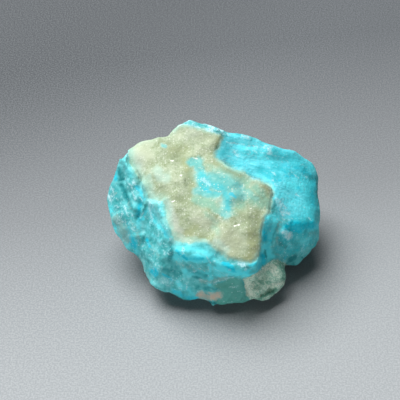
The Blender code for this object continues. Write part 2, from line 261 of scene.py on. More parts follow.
# Dark blue-green strokes, some of them painted shade as marked
TEAL_AND_PAINTED_SHADE = [
    (8, 0.5, (112, 188), (118, 204), (124, 218)), (5, 0.45, (144, 240), (152, 256)),
    # Painted shade: a dark line along the stone's bottom front edge, whose underside is in shade
    (1.5, 0.8, (176, 297), (190, 301), (205, 302), (225, 304), (240, 303)),
    (1.8, 0.7, (139.5, 197), (140, 201), (138.5, 208), (139, 217)),
    (2, 0.6, (205, 288), (216, 289), (226, 286)), (2, 0.5, (214, 277), (228, 281)),
    (2, 0.5, (228, 293), (240, 292)), (2, 0.5, (186, 266), (196, 274)),
    (2.5, 0.8, (119, 170), (121, 178)), (3, 0.9, (122, 186), (124, 193), (127, 198)),
    (1.3, 1, (119, 180), (124, 179)), (2.5, 0.7, (129, 201), (131, 208)),
    (1.5, 0.6, (133, 186), (137, 188)), (2, 0.5, (148, 250), (156, 254), (155, 258)),
    (2.5, 0.7, (170, 243), (172, 250), (170, 260)), (4, 0.5, (172, 262), (177, 268)),
    (3, 0.6, (163, 269), (172, 271), (178, 276)), (3, 0.6, (190, 270), (206, 276)),
    # Painted shade: the first stroke below darkens the right end, which turns away from the light
    (3, 0.6, (317, 178), (318, 192), (317, 204)), (3, 0.6, (304, 171), (311, 178)),
    # Painted shade on the crust's right wall, which stands in shade
    (2.4, 0.4, (272.5, 193), (274.5, 203), (273.5, 214)),
    (1.6, 0.5, (279, 222), (276.5, 229), (273, 236), (272, 244)), (3, 0.6, (281, 244), (286, 247)),
    (1.5, 0.7, (286, 229), (290, 230)), (2.6, 0.9, (295, 257), (290, 260)),
    (1, 0.8, (301, 257), (303, 257)), (1.5, 0.7, (265, 250), (265, 258)),
    (2, 0.6, (193, 276), (200, 279)),
]
SAND = [
    (2, 0.6, (112, 195), (115, 193)), (5, 0.9, (116, 218), (122, 228), (126, 240)),
    (2.5, 0.5, (131, 222), (136, 230), (139, 244)), (2.5, 0.5, (129, 209), (130, 203)),
    (2.5, 0.5, (139, 258), (150, 281)), (2.5, 0.4, (176, 262), (183, 266), (192, 269), (208, 269)),
    (2.5, 0.7, (202, 282), (214, 281), (226, 277)), (3.5, 0.9, (200, 295), (206, 298), (220, 295)),
    (2.5, 0.5, (280, 222), (277, 232), (277, 242)), (3, 0.4, (276, 255), (284, 262)),
    (2, 0.5, (244, 277), (248, 281)), (4, 0.4, (150, 244), (158, 256)),
]
MINT = [
    (4, 0.8, (216, 242), (226, 250)), (5, 1, (157, 171), (161, 178), (166, 177)),
    (3, 0.7, (150, 176), (152, 188)), (4.5, 1, (152, 203), (154, 216)),
    (2.5, 0.7, (171, 230), (177, 238), (190, 241)), (2, 1, (162, 145), (165, 146)),
    (3, 0.6, (150, 188), (152, 195)), (3, 0.5, (132, 152), (132, 158)),
    (3, 0.6, (196, 241), (210, 243), (216, 248)),
]
GREEN_AND_PAINTED_SHADE = [
    (6, 1, (234, 186), (242, 196), (240, 204)), (5, 0.9, (256, 188), (266, 198)),
    # Painted shade: the first stroke below darkens the knob's right side, which is in shade
    (3, 0.9, (281, 264), (284, 272), (284, 279)), (5, 0.8, (222, 169), (236, 174), (247, 183)),
    (5, 0.9, (196, 200), (210, 203), (216, 210)), (7, 0.8, (245, 190), (252, 198), (262, 203)),
    (3, 0.8, (267, 195), (268, 207)), (4, 0.6, (240, 206), (236, 214)), (4, 0.5, (207, 214), (216, 222)),
    (3, 0.5, (149, 176), (148, 196)), (3, 0.5, (204, 164), (232, 176)), (3, 0.5, (190, 173), (192, 180)),
    (2.5, 0.8, (258, 301), (266, 295), (276, 290)), (2, 0.6, (256, 279), (264, 284), (270, 282)),
    (4, 0.5, (214, 226), (218, 232)), (2.5, 0.5, (176, 234), (190, 238), (204, 240)),
]
OLIVE = [
    (5, 0.4, (203, 150), (212, 151)), (7, 0.4, (200, 135), (214, 140)),
    (5, 0.6, (168, 157), (178, 156), (187, 166)), (4, 0.7, (188, 170), (191, 184), (190, 196)),
    (5, 0.6, (162, 192), (176, 198), (188, 202)), (4, 0.5, (182, 218), (192, 228)),
    (2.2, 1, (200, 237), (208, 238)), (2.5, 0.6, (184, 232), (205, 234)),
    (4, 0.9, (256, 212), (259, 228), (258, 242)), (3, 0.7, (245, 259), (253, 260)),
    (3, 0.6, (268, 190), (268, 196)), (3, 0.7, (214, 162), (228, 170), (240, 176)),
    (5, 0.7, (240, 212), (248, 220), (252, 232)), (2, 0.6, (160, 140), (161, 142)),
    (3, 0.5, (212, 152), (217, 147)), (3, 0.5, (150, 160), (152, 166)),
]
GOLD = [
    (8, 0.4, (226, 234), (238, 242), (234, 252)), (5, 0.8, (250, 234), (253, 248), (248, 258)),
    (6, 0.6, (172, 149), (185, 150)), (4, 0.7, (186, 233), (197, 227)), (3, 0.6, (184, 160), (186, 170)),
    (3, 0.6, (262, 184), (267, 188)), (2, 0.7, (220, 136), (218, 143)),
]
CREAM_AND_PAINTED_HIGHLIGHTS = [
    (6, 0.8, (196, 221), (212, 222)), (8, 0.9, (139, 150), (147, 155)), (5, 0.6, (140, 145), (152, 141)),
    (6, 0.5, (174, 176), (182, 180)), (4, 0.6, (198, 148), (206, 152)),
    (6, 0.5, (180, 134), (200, 138), (212, 140)), (8, 0.8, (222, 232), (236, 240), (230, 248)),
    (4, 0.5, (236, 248), (244, 244)), (3, 0.5, (250, 185), (258, 184)), (4, 0.5, (196, 212), (206, 216)),
    # On the knob, these strokes make its left face, top and shelf edge paler, partly as painted
    # highlights
    (4, 0.9, (247, 283), (251, 294)), (4, 0.8, (262, 267), (272, 266), (276, 272)),
    (1.6, 0.9, (266, 285), (274, 286), (282, 284)), (1.5, 0.7, (252, 286), (258, 292)),
    (1.5, 0.7, (248, 280), (258, 273)),
]
BLUSH = [
    (6, 0.7, (137, 158), (142, 168)), (4, 0.9, (168, 204), (172, 214), (177, 228), (183, 236)),
    (4, 0.5, (188, 136), (198, 133)), (2.5, 0.6, (222, 240), (224, 244)),
]
# Painted glints: white dots where light glints off grains of the crust and the knob
PAINTED_GLINTS = [
    (1.1, 1, (171, 161), (173, 161)), (1.1, 1, (180, 174.5), (182, 175)),
    (0.9, 0.8, (164.5, 161.5), (165.5, 162)), (1.1, 0.8, (150, 151), (151.5, 151)),
    (0.8, 0.9, (188.5, 151), (189.5, 152)), (1.2, 0.9, (193, 157.5), (197.5, 158.5)),
    (1, 1, (172, 202), (175, 201)), (0.9, 0.8, (179, 204), (181, 205)), (1, 0.9, (199, 227), (201, 227)),
    (1.2, 1, (234, 226), (236, 225.5), (239, 224)), (0.9, 0.8, (222, 229), (223.5, 229)),
    (0.7, 0.9, (265, 206.5), (265.5, 207.5)), (1, 0.9, (249, 208.5), (251, 208.5)),
    (1, 0.8, (242, 216), (245, 215)), (1, 0.9, (188, 243), (190, 243)),
    (0.9, 0.8, (238.5, 246), (239.5, 247)), (0.8, 0.9, (175.5, 188), (176.5, 189)),
    (0.8, 0.8, (184.5, 188), (185.5, 189)), (0.9, 0.7, (133, 161), (134, 164)),
    (0.9, 0.7, (136, 165), (138, 164)), (1, 0.8, (144.5, 168.5), (146, 169)),
    (1, 0.7, (139, 158), (144, 157)), (0.8, 0.6, (200.5, 154), (202, 155)),
    (1.2, 0.7, (170, 134), (174, 131)), (0.8, 0.7, (189.5, 137), (192, 137.5)),
    (0.8, 0.7, (171, 143), (172, 144)), (1, 0.6, (130, 149), (134, 150)),
    (1, 0.8, (133, 141), (137, 139)), (0.9, 0.8, (143, 135), (147, 133.5)),
    (1, 0.8, (160, 131), (164, 130)), (0.9, 0.8, (178, 126), (181, 125)),
    (0.9, 0.8, (262, 268), (263, 269)), (0.9, 0.8, (272, 272), (273, 271)),
    (0.8, 0.8, (254, 290), (255, 291)),
]

# Relief that the picture shows: half width in pixels, height in millimetres, then the
# pixels. Fills move the stone towards the camera, and the others move it outwards.
FILLS = [
    (7, -2, (113, 228), (124, 242), (137, 260), (148, 280)),
    (6, -1.5, (319, 234), (315, 247), (304, 258), (292, 264)),
    (6, 2.4, (132, 180), (136, 190), (139, 206)), (5, 0.5, (268, 151), (282, 155)),
    (7, 0.8, (230, 160), (242, 167)), (12, 1.6, (222, 142), (218, 156)),
    (6, 0.5, (226, 151), (238, 147), (252, 151)), (12, 1.3, (275, 187), (277, 200), (277, 208)),
    (10, 2, (124, 157), (128, 167), (134, 184)), (8, 1.3, (147, 188), (153, 206), (159, 222), (166, 236)),
    (5.5, 1.2, (177, 250), (188, 253), (200, 255), (209, 257)),
    (5, 1, (214, 262), (228, 267), (243, 269), (255, 266), (262, 257)), (6, 0.8, (267, 220), (274, 222)),
    (5, 0.5, (284, 232), (290, 235)),
]
RIDGES_AND_CLEFTS = [
    (1.8, -0.7, (121, 163), (123.5, 170), (125, 178), (125.5, 186), (127, 194), (128, 200)),
    (4, -0.8, (122, 186), (124, 193), (128, 199)),
    (1.5, 0.35, (127, 181), (130, 185), (132, 190), (134, 195), (136, 199)),
    (2, -0.8, (140, 204), (138.5, 210), (138, 216)),
    (1.6, 0.35, (146.5, 196), (144.5, 205), (142.5, 213), (141.5, 219)),
    (1, -0.35, (119, 187), (121, 194), (127, 193)),
    (2, -0.45, (262, 255), (264, 245), (263, 235), (264, 227), (267, 220)),
    (3, 0.35, (266, 216), (272, 220), (274, 226), (270, 233)),
    (1.2, -0.25, (225, 142), (240, 144.5), (255, 147)),
    (2, -0.3, (176, 256), (185, 264), (197, 267), (208, 266)),
    (1.6, -0.15, (222, 268), (230, 273), (240, 275), (250, 272), (258, 267), (263, 260)),
    (5, 0.9, (266, 299), (275, 294), (282, 287)), (1.6, -0.3, (243, 277), (247, 287), (250, 296)),
    (2.5, 0.6, (256, 290), (270, 283), (284, 277)), (2.2, -0.6, (262, 296), (273, 289), (284, 284)),
    (2, 0.4, (250, 280), (262, 272), (274, 262)), (2, -0.3, (256, 281), (268, 275), (278, 268)),
    (1.5, 0.8, (213, 302), (213, 306)),
]
CRUST_SWELLS = [
    (9, 0.45, (141, 155), (150, 158)), (6, 0.4, (160, 170), (160, 180)),
    (7, 0.35, (176, 178), (181, 181)), (5, -0.45, (168, 152), (178, 156), (187, 166), (192, 184)),
    (4, -0.3, (163, 191), (176, 199), (190, 199)), (7, 0.3, (178, 212), (186, 224)),
    (3, -0.35, (203, 239), (210, 234), (218, 222)), (5, -0.25, (198, 204), (214, 210)),
    (9, 0.45, (232, 235), (243, 244)), (5, 0.25, (250, 190), (262, 196)),
    (4, -0.3, (240, 205), (252, 212), (258, 226)), (5, 0.3, (200, 138), (210, 142)),
    (4, -0.25, (188, 148), (198, 152)), (3, 0.25, (228, 170), (244, 178), (262, 186)),
]

# Strokes under which the stone is smoothed, before its relief and at the crust's foot,
# and the roll that stays free of chips
EVENED = [
    (8, 1, (146, 196), (153, 210), (160, 228)), (7, 1, (277, 188), (280, 202), (279, 212)),
    (9, 1, (228, 145), (226, 156), (234, 152)), (5, 1, (126, 158), (131, 172), (136, 182)),
]
FOOT = [
    (6, 1, (228, 138), (223, 150), (222, 156), (232, 163), (244, 169)), (4, 1, (286, 271), (288, 280)),
]
ROLL = [
    (7, 0.9, (177, 250), (190, 253), (206, 256)),
    (6, 0.9, (214, 261), (228, 266), (243, 268), (255, 265), (262, 256)),
]

CRUST_RISE = 0.5  # how far the crust's right part stands above the stone, in millimetres
CRUST_SINK = 0.2  # lets the crust's lumps start a little under its surface
SWELL_SHARE = 0.6
STONE_SINK = 0.15  # takes back what the relief adds to the stone's size
FACE_CALM = 0.8  # the share of the chips that the right face goes without

# Soft edges of the relief, in pixels
CRUST_EDGE = 3
CRUST_SHOULDER = 5
CRUST_DOME = 6
FACE_EDGE = 4
KNOB_EDGE = 3
FILL_GAP = 1.5  # how far the fills stop short of the crust

# Relief in layers: height and size in millimetres, the seed, and the octaves if more than one
CRUST_ROUGH = [(0.15, 3.0, 3, 2)]
CRUST_LUMPS = [(0.16, 3.4, 2), (0.08, 1.7, 3)]
CHIPS = [(0.75, 4.5, 1), (0.16, 2.2, 2)]
BREAKS = [(0.15, 2.6, 4, 3)]
KNOB_CHIPS = [(1.1, 3.4, 6)]
FINE_GRAINS = [(0.06, 0.6, 1)]
FINE_CHIPS = [(0.1, 1.2, 3)]
FINE_BREAKS = [(0.04, 0.7, 5, 2)]
STRIAE = [(0.04, 0.55, 6, 2)]
STREAK_TURN = math.radians(11)  # how far the streaks fall to the right
STREAK_LENGTH = 9  # in their own widths

# Masks with soft edges in pixels, and the strokes that each of the others is laid on by
EDGED = {
    "crust": (CRUST_OUTLINE, 5),
    "quartz": (KNOB_OUTLINE, 3),
    "slate": (SLATE_OUTLINE, 6),
    "face": (RIGHT_FACE, 6),
}
STROKED = {
    "frost": FROST_AND_PAINTED_LIGHT, "deep": DEEP, "teal": TEAL_AND_PAINTED_SHADE, "bright": BRIGHT_AND_PAINTED_LIGHT, "bloom": BLOOM_AND_PAINTED_LIGHT, "dull": DULL,
    "sand": SAND, "mint": MINT, "green": GREEN_AND_PAINTED_SHADE, "gold": GOLD, "peach": PEACH_STROKES,
    "blush": BLUSH, "olive": OLIVE, "cream": CREAM_AND_PAINTED_HIGHLIGHTS, "sparkle": PAINTED_GLINTS, "vein": VEIN,
}
FRINGE_WIDTH = 2
FRINGE_WIDER = 4  # added left of where the crust stands up

# Patterns of the hidden sides: how flat they lie, strength, size in millimetres, seed and
# octaves, then how steep the noise is made and how much of it is cut off
OWN_PATTERNS = {
    "frost": (3, 0.5, 2.6, 11, 3, 3, 0.8),
    "deep": (1, 0.5, 5.0, 12, 2, 2.5, 0.7),
    "teal": (1, 0.6, 6.0, 13, 2, 2.5, 0.6),
    "sand": (3, 0.6, 5.0, 14, 2, 3, 1.1),
}

# The crust's own edge on the hidden sides, in millimetres above the ground
CAP_HEIGHT = 21
CAP_SWAY = 5
CAP_SWAY_SIZE = 6
CAP_EDGE = 1.2


def added(name, data):
    """A new object in the scene."""
    piece = bpy.data.objects.new(name, data)
    bpy.context.scene.collection.objects.link(piece)
    return piece


def aim(piece, way):
    """Turns a camera or a light to look along a direction."""
    piece.rotation_mode = "QUATERNION"
    piece.rotation_quaternion = way.to_track_quat("-Z", "Y")


def to_camera():
    """The directions right, up and back, as the camera has them."""
    return (
        np.array((1, 0, 0)),
        np.array((0, math.sin(CAMERA_TILT), math.cos(CAMERA_TILT))),
        np.array((0, -math.cos(CAMERA_TILT), math.sin(CAMERA_TILT))),
    )


def add_camera():
    """The camera, at the angle of the picture."""
    back = to_camera()[2]
    data = bpy.data.cameras.new("camera")
    data.lens = CAMERA_LENS
    data.sensor_width = CAMERA_SENSOR
    data.clip_start = 0.01
    camera = added("camera", data)
    camera.location = (CAMERA_TARGET + back * CAMERA_DISTANCE) * MM
    aim(camera, -Vector(back))
    bpy.context.scene.camera = camera


def pixels_of(points):
    """Where points in millimetres fall in the picture, as two arrays."""
    right, up, back = to_camera()
    from_target = points - CAMERA_TARGET
    scale = PICTURE * CAMERA_LENS / CAMERA_SENSOR / (CAMERA_DISTANCE - from_target @ back)
    return (
        PICTURE / 2 + scale * (from_target @ right),
        PICTURE / 2 - scale * (from_target @ up),
    )


def smooth(amount):
    """Ease from 0 to 1."""
    amount = np.clip(amount, 0, 1)
    return amount * amount * (3 - 2 * amount)


def rough(points, size, seed=0, octaves=1):
    """Noise from about -1 to 1 at each point, with features of one size."""
    shift = Vector((7.3, 3.1, 5.7)) * seed
    return np.array([
        noise.fractal(Vector(point) + shift, 1.0, 2.0, octaves) for point in points / size
    ])


def grains(points, size, seed=0):
    """Rounded grains: 1 at the middle of each and 0 between them."""
    shift = Vector((2.9, 8.3, 4.1)) * seed
    return np.array([
        1 - min(noise.voronoi(Vector(point) + shift)[0][0] * 1.6, 1) for point in points / size
    ])


def facets(points, size, seed=0):
    """Flat chips: each cell of the stone is tilted a way of its own."""
    shift = Vector((5.1, 1.7, 9.4)) * seed
    tilts = []
    for point in points / size:
        place = Vector(point) + shift
        middle = noise.voronoi(place)[1][0]
        tilts.append((place - middle).dot(noise.noise_vector(middle * 7.9)))
    return np.array(tilts)


def layered(kind, points, layers):
    """Layers of rough, grains or facets, each at its own height, one on another."""
    return sum(height * kind(points, *shape) for height, *shape in layers)


def stroked(u, v, strokes):
    """The strongest stroke at each point, fading out past the stroke's half width."""
    most = np.zeros(len(u))
    for half_width, strength, *line in strokes:
        away = np.full(len(u), np.inf)
        for start, end in zip(line, line[1:]):
            away = np.minimum(away, distance_to(u, v, start, end))
        here = strength * np.exp(-STROKE_FALL * (away / half_width) ** 2)
        most = np.where(np.abs(here) > np.abs(most), here, most)
    return most


def distance_to(u, v, start, end):
    """How far each point is from the straight line between two others."""
    along = np.array(end) - start
    share = ((u - start[0]) * along[0] + (v - start[1]) * along[1]) / (along @ along)
    share = np.clip(share, 0, 1)
    return np.hypot(u - start[0] - share * along[0], v - start[1] - share * along[1])


def depth_inside(u, v, outline):
    """How many pixels each point is inside a closed outline, and less than 0 outside."""
    away = np.full(len(u), np.inf)
    inside = np.zeros(len(u), bool)
    for start, end in zip(outline, outline[1:] + outline[:1]):
        away = np.minimum(away, distance_to(u, v, start, end))
        crosses = (start[1] > v) != (end[1] > v)
        if start[1] == end[1]:
            continue
        at = start[0] + (v - start[1]) * (end[0] - start[0]) / (end[1] - start[1])
        inside ^= crosses & (u < at)
    return np.where(inside, away, -away)


def read_vectors(mesh, field):
    """A vector for each vertex of a mesh: its place, or its normal."""
    values = np.empty(len(mesh.vertices) * 3, np.float32)
    mesh.vertices.foreach_get(field, values)
    return values.reshape(-1, 3).astype(float)


def write_points(mesh, points):
    """Moves the vertices of a mesh to points in millimetres."""
    mesh.vertices.foreach_set("co", (points * MM).astype(np.float32).ravel())
    mesh.update()


def merged_copy(node):
    """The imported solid's mesh, with its loose triangles joined."""
    solid = bmesh.new()
    solid.from_mesh(bpy.data.objects[node].data)
    bmesh.ops.remove_doubles(solid, verts=solid.verts, dist=0.001 * MM)
    mesh = bpy.data.meshes.new(node + "_skin")
    solid.to_mesh(mesh)
    solid.free()
    return mesh


def relax(skin, verts, rounds):
    """Draws some vertices of a skin half way to their neighbours, a number of times."""
    for _ in range(rounds):
        bmesh.ops.smooth_vert(
            skin, verts=verts, factor=0.5, use_axis_x=True, use_axis_y=True, use_axis_z=True
        )


def remeshed(mesh, step, rounds):
    """The same shape in squares of one size, smoothed a few times."""
    piece = added("blank", mesh)
    modifier = piece.modifiers.new("skin", "REMESH")
    modifier.mode = "VOXEL"
    modifier.voxel_size = step * MM
    evaluated = piece.evaluated_get(bpy.context.evaluated_depsgraph_get())
    skin = bmesh.new()
    skin.from_mesh(evaluated.to_mesh())
    relax(skin, skin.verts, rounds)
    fresh = bpy.data.meshes.new(mesh.name)
    skin.to_mesh(fresh)
    skin.free()
    bpy.data.objects.remove(piece)
    return fresh


def evened(mesh, places, rounds):
    """Smooths a mesh in some places only."""
    skin = bmesh.new()
    skin.from_mesh(mesh)
    skin.verts.ensure_lookup_table()
    relax(skin, [skin.verts[place] for place in np.flatnonzero(places)], rounds)
    skin.to_mesh(mesh)
    skin.free()


def seen_by_camera(mesh, points, normals):
    """Whether the camera sees each vertex: it faces the camera, and nothing is in between."""
    eye = CAMERA_TARGET + to_camera()[2] * CAMERA_DISTANCE
    toward = eye - points
    toward /= np.linalg.norm(toward, axis=1)[:, None]
    facing = np.einsum("ij,ij->i", toward, normals) > GRAZING
    skin = bmesh.new()
    skin.from_mesh(mesh)
    tree = bvhtree.BVHTree.FromBMesh(skin)
    starts = (points + normals * RAY_LIFT + toward * RAY_LEAD) * MM
    clear = [
        bool(faces) and tree.ray_cast(Vector(start), Vector(way))[0] is None
        for faces, start, way in zip(facing, starts, toward)
    ]
    skin.free()
    return np.array(clear)


def nearest_seen(points, seen):
    """For each vertex, the seen vertex nearest to it and how far off that is."""
    places = np.flatnonzero(seen)
    tree = kdtree.KDTree(len(places))
    for place in places:
        tree.insert(Vector(points[place]), int(place))
    tree.balance()
    found = [tree.find(Vector(point))[1:] for point in points]
    return np.array([each[0] for each in found]), np.array([each[1] for each in found])


class Side:
    """The vertices of a skin, with where the picture shows each of them."""

    def __init__(self, mesh, jag_reach=JAG_REACH_IN_RELIEF):
        self.points = read_vectors(mesh, "co") / MM
        self.normals = read_vectors(mesh, "normal")
        seen = seen_by_camera(mesh, self.points, self.normals)
        self.nearest, self.away = nearest_seen(self.points, seen)
        self.u, self.v = pixels_of(self.points)
        for size, reach, seed in ((BEND_SIZE, BEND_REACH, 1), (JAG_SIZE, jag_reach, 3)):
            self.u = self.u + reach * rough(self.points, size, seed)
            self.v = self.v + reach * rough(self.points, size, seed + 1)
        self.carried = smooth(1 - self.away / RUN_ON)

    def shown(self, amount):
        """An amount worked out from the picture, run on past the edge of what it shows."""
        return amount[self.nearest] * self.carried

    def strokes(self, strokes):
        """The strongest of some strokes at each vertex, with the same run on."""
        return self.shown(stroked(self.u, self.v, strokes))

    def depth(self, outline):
        """Pixels inside an outline, with the same run on past the edge."""
        return depth_inside(self.u, self.v, outline)[self.nearest] - self.away * NARROWING


def along_streaks(points):
    """Places drawn together along the right face's streaks, so that noise there runs in lines."""
    across = np.cos(STREAK_TURN), np.sin(STREAK_TURN)
    return np.stack(
        (
            (points[:, 0] * across[0] - points[:, 2] * across[1]) / STREAK_LENGTH,
            points[:, 1],
            points[:, 0] * across[1] + points[:, 2] * across[0],
        ),
        axis=1,
    )


def on_flat(moved, points):
    """Relief fades out just above the flat that the stone rests on."""
    share = smooth(points[:, 2] / FLAT_GUARD)[:, None]
    moved = points + (moved - points) * share
    moved[:, 2] = np.maximum(moved[:, 2], 0)
    return moved


def broad_lift(side, crust):
    """How far the crust, ridges, clefts and chips move each vertex outwards."""
    rise = side.shown(CRUST_RISE * smooth((side.u - CRUST_STANDS_FROM) / 45))
    lift = rise * smooth((crust + 2) / CRUST_SHOULDER)
    lift += side.strokes(RIDGES_AND_CLEFTS)
    lift += SWELL_SHARE * side.strokes(CRUST_SWELLS)
    sandy = layered(rough, side.points, CRUST_ROUGH) + layered(grains, side.points, CRUST_LUMPS)
    lift += (sandy - CRUST_SINK) * smooth(crust / CRUST_DOME)
    chipped = layered(facets, side.points, CHIPS) + layered(rough, side.points, BREAKS)
    bare = 1 - smooth(crust / CRUST_EDGE)
    calm = 1 - side.strokes(ROLL)
    face = smooth(side.depth(RIGHT_FACE) / FACE_EDGE + 1)
    lift += chipped * bare * calm * (1 - FACE_CALM * face)
    knob = smooth(side.depth(KNOB_OUTLINE) / KNOB_EDGE)
    lift += layered(facets, side.points, KNOB_CHIPS) * knob
    return lift - STONE_SINK


def fill(side, crust):
    """How far the fills move each vertex towards the camera. They stop short of the crust."""
    above_roll = 1 - smooth((side.v - ROLL_TOP) / 15)
    at_left = smooth((LEFT_OF_CRUST - side.u) / 30)
    gap = side.shown(above_roll * (1 + at_left)) + FILL_GAP
    return side.strokes(FILLS) * (1 - smooth((crust + gap) / gap))


def fine_lift(side):
    """How far the grains, small chips and striae move each vertex outwards."""
    crust = smooth(side.depth(CRUST_OUTLINE) / CRUST_EDGE)
    face = smooth(side.depth(RIGHT_FACE) / FACE_EDGE)
    calm = 1 - side.strokes(ROLL)
    chips = layered(facets, side.points, FINE_CHIPS) + layered(rough, side.points, FINE_BREAKS)
    lift = layered(grains, side.points, FINE_GRAINS)
    lift += chips * (1 - 0.8 * crust) * (1 - 0.7 * face) * calm
    lift += layered(rough, along_streaks(side.points), STRIAE) * face
    return lift


def worked_skin():
    """The stone's mesh with all its relief."""
    noise.seed_set(CHIP_SEED)
    mesh = remeshed(merged_copy(NODE), FIRST_STEP, FIRST_ROUNDS)
    evened(mesh, Side(mesh).strokes(EVENED) > EVENED_FROM, EVENED_ROUNDS)
    side = Side(mesh)
    crust = side.depth(CRUST_OUTLINE)
    outwards = side.normals * broad_lift(side, crust)[:, None]
    toward = to_camera()[2] * fill(side, crust)[:, None]
    write_points(mesh, on_flat(side.points + outwards + toward, side.points))

    mesh = remeshed(mesh, FINE_STEP, FINE_ROUNDS)
    side = Side(mesh)
    off_crust = side.depth(CRUST_OUTLINE) < 0.3
    evened(mesh, (side.strokes(FOOT) > EVENED_FROM) & off_crust, FOOT_ROUNDS)
    side = Side(mesh)
    outwards = side.normals * fine_lift(side)[:, None]
    write_points(mesh, on_flat(side.points + outwards, side.points))
    return mesh


def lay_masks(mesh):
    """Each finish's mask, from 0 to 1, as an attribute of the mesh."""
    side = Side(mesh, JAG_REACH_IN_COLOUR)
    masks = {name: side.strokes(strokes) for name, strokes in STROKED.items()}
    for name, (outline, edge) in EDGED.items():
        masks[name] = smooth(side.depth(outline) / edge + 0.5)
    wider = side.shown(FRINGE_WIDER * smooth((CRUST_STANDS_FROM - side.u) / 20))
    off_edge = (side.depth(CRUST_OUTLINE) - 0.5) / (FRINGE_WIDTH + wider)
    masks["fringe"] = np.exp(-(off_edge ** 2))

    hidden = 1 - side.carried
    for name, (flat, strength, size, seed, octaves, steep, cut) in OWN_PATTERNS.items():
        pattern = rough(side.points * (1, 1, flat), size, seed, octaves) * steep - cut
        masks[name] = np.maximum(masks[name], strength * smooth(pattern) * hidden)
    swayed = CAP_SWAY * rough(side.points, CAP_SWAY_SIZE, 15, 2)
    cap = smooth((side.points[:, 2] - CAP_HEIGHT + swayed) / CAP_EDGE)
    masks["crust"] = np.maximum(masks["crust"], cap * hidden)
    for name, amount in masks.items():
        mask = mesh.attributes.new(name, "FLOAT", "POINT")
        mask.data.foreach_set("value", amount.astype(np.float32))


class Wire:
    """One value or colour in a material. Sums on it add the nodes that work them out."""

    def __init__(self, paint, socket):
        self.paint = paint
        self.socket = socket

    def __add__(self, other):
        return self.paint.sum("ADD", self, other)

    def __sub__(self, other):
        return self.paint.sum("SUBTRACT", self, other)

    def __rsub__(self, other):
        return self.paint.sum("SUBTRACT", other, self)

    def __mul__(self, other):
        return self.paint.sum("MULTIPLY", self, other)

    __radd__ = __add__
    __rmul__ = __mul__


class Paint:
    """A material, with short names for the nodes it is made of."""

    def __init__(self, name):
        self.material = bpy.data.materials.new(name)
        self.material.use_nodes = True
        self.tree = self.material.node_tree
        self.shader = self.tree.nodes["Principled BSDF"]
        self.place = self.node("ShaderNodeTexCoord", out="Object")

    def node(self, kind, settings=None, sockets=None, out=0):
        """Adds a node: its settings first, then the values or links of its sockets."""
        node = self.tree.nodes.new(kind)
        for name, value in (settings or {}).items():
            if name == "stops":
                self.set_stops(node.color_ramp, value)
            else:
                setattr(node, name, value)
        for name, value in (sockets or {}).items():
            self.connect(value, node.inputs[name])
        return Wire(self, node.outputs[out])

    def set_stops(self, ramp, stops):
        """Gives a ramp its places and colours."""
        while len(ramp.elements) < len(stops):
            ramp.elements.new(1)
        for element, (position, colour) in zip(ramp.elements, stops):
            element.position = position
            element.color = opaque(colour)

    def connect(self, value, socket):
        """Links a wire to a socket, or sets a plain value on it."""
        if isinstance(value, Wire):
            self.tree.links.new(value.socket, socket)
        else:
            socket.default_value = value

    def sum(self, operation, first, second):
        """A Math node on two values."""
        return self.node("ShaderNodeMath", {"operation": operation}, {0: first, 1: second})

    def mask(self, name):
        """One of the masks that the mesh carries."""
        return self.node("ShaderNodeAttribute", {"attribute_name": name}, out="Fac")

    def mottle(self, size, detail=3, place=None):
        """Noise from 0 to 1 with features of a size in millimetres."""
        sockets = {
            "Vector": place or self.place,
            "Scale": 1 / (size * MM),
            "Detail": detail,
            "Roughness": 0.6,
        }
        return self.node("ShaderNodeTexNoise", sockets=sockets, out="Fac")

    def streaks(self, size):
        """Noise that runs in lines along the right face's streaks."""
        turned = self.node(
            "ShaderNodeMapping", sockets={"Vector": self.place, "Rotation": (0, -STREAK_TURN, 0)}
        )
        drawn = self.node(
            "ShaderNodeVectorMath",
            {"operation": "MULTIPLY"},
            {0: turned, 1: (1 / STREAK_LENGTH, 1, 1)},
        )
        return self.mottle(size, place=drawn)

    def cells(self, size, out):
        """Grains of a size in millimetres: the Distance to their middles, or a Color for each."""
        sockets = {"Vector": self.place, "Scale": 1 / (size * MM)}
        return self.node("ShaderNodeTexVoronoi", {"feature": "F1"}, sockets, out)

    def between(self, value, low, high):
        """0 below one value and 1 above another, with a soft step from one to the other."""
        return self.node(
            "ShaderNodeMapRange",
            {"interpolation_type": "SMOOTHSTEP"},
            {"Value": value, "From Min": low, "From Max": high},
        )

    def swayed(self, level, *noises):
        """A level that noises from 0 to 1 push up and down, each by its own share."""
        for pattern, share in noises:
            level = level + (pattern - 0.5) * share
        return level

    def edge(self, name, pattern, share, low, high):
        """A mask whose edge a noise breaks up."""
        return self.between(self.swayed(self.mask(name), (pattern, share)), low, high)

    def broken(self, name, pattern):
        """A mask with a ragged edge."""
        return self.edge(name, pattern, 1.2, 0.25, 0.75)

    def soft(self, name, pattern, share=0.6):
        """A mask with a soft, slightly ragged edge."""
        return self.edge(name, pattern, share, 0.15, 0.85)

    def ramp(self, value, stops):
        """A value turned into a colour."""
        return self.node("ShaderNodeValToRGB", {"stops": stops}, {"Fac": value}, out="Color")

    def mix(self, amount, first, second):
        """One colour turning into another."""
        return self.node(
            "ShaderNodeMix",
            {"data_type": "RGBA"},
            {0: amount, 6: opaque(first), 7: opaque(second)},
            out=2,
        )

    def over(self, colour, *layers):
        """A colour with other shades laid on it in turn, each by its own amount."""
        for amount, shade in layers:
            colour = self.mix(amount, colour, shade)
        return colour

    def finish(self, colour, roughness):
        """The material with its colour and roughness, and the weak shine of stone and paper."""
        self.connect(colour, self.shader.inputs["Base Color"])
        self.connect(roughness, self.shader.inputs["Roughness"])
        self.connect(SHINE, self.shader.inputs["Specular IOR Level"])
        return self.material


def opaque(colour):
    """A colour as a node's socket takes it."""
    return colour if isinstance(colour, Wire) else (*colour, 1)


